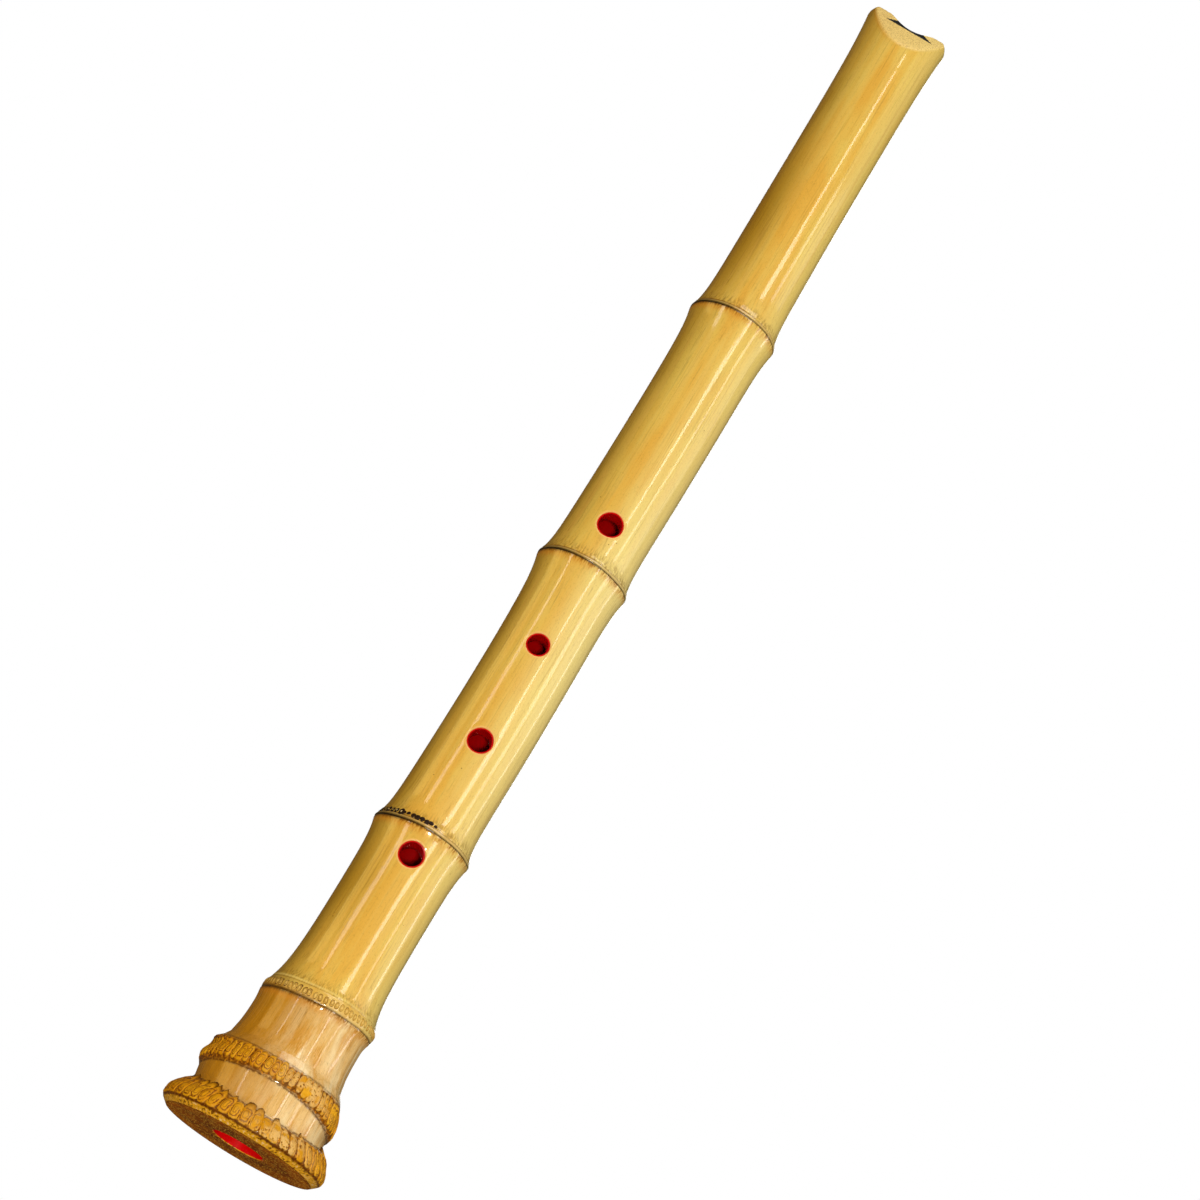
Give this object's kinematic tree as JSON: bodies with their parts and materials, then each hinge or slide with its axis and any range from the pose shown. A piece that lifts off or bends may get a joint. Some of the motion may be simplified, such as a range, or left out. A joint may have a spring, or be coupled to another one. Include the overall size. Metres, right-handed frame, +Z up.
{
  "type": "shakuhachi",
  "caption": "End-blown bamboo flute with a flared root end, node ridges, red lacquered bore, front finger holes, a thumb hole and a sloping blowing edge with a horn insert.",
  "frame": {"origin": "centre of the flat foot face of the root end", "axes": "+Z up along the bore from the root end to the mouth, -Y the side of the finger holes and the blowing edge, +Y the side of the thumb hole"},
  "size_m": [0.068, 0.0682, 0.545],
  "materials": {
    "bamboo": "oiled and polished golden bamboo, matte and darker on the root end",
    "horn": "polished black horn",
    "ground_paste": "dry grey-brown paste, hidden",
    "red_lacquer": "glossy red lacquer"
  },
  "bodies": {
    "root": {"culm": "bamboo", "edge_inlay": "horn", "ground_lining": "ground_paste", "lacquer_coat": "red_lacquer"}
  },
  "joints": []
}
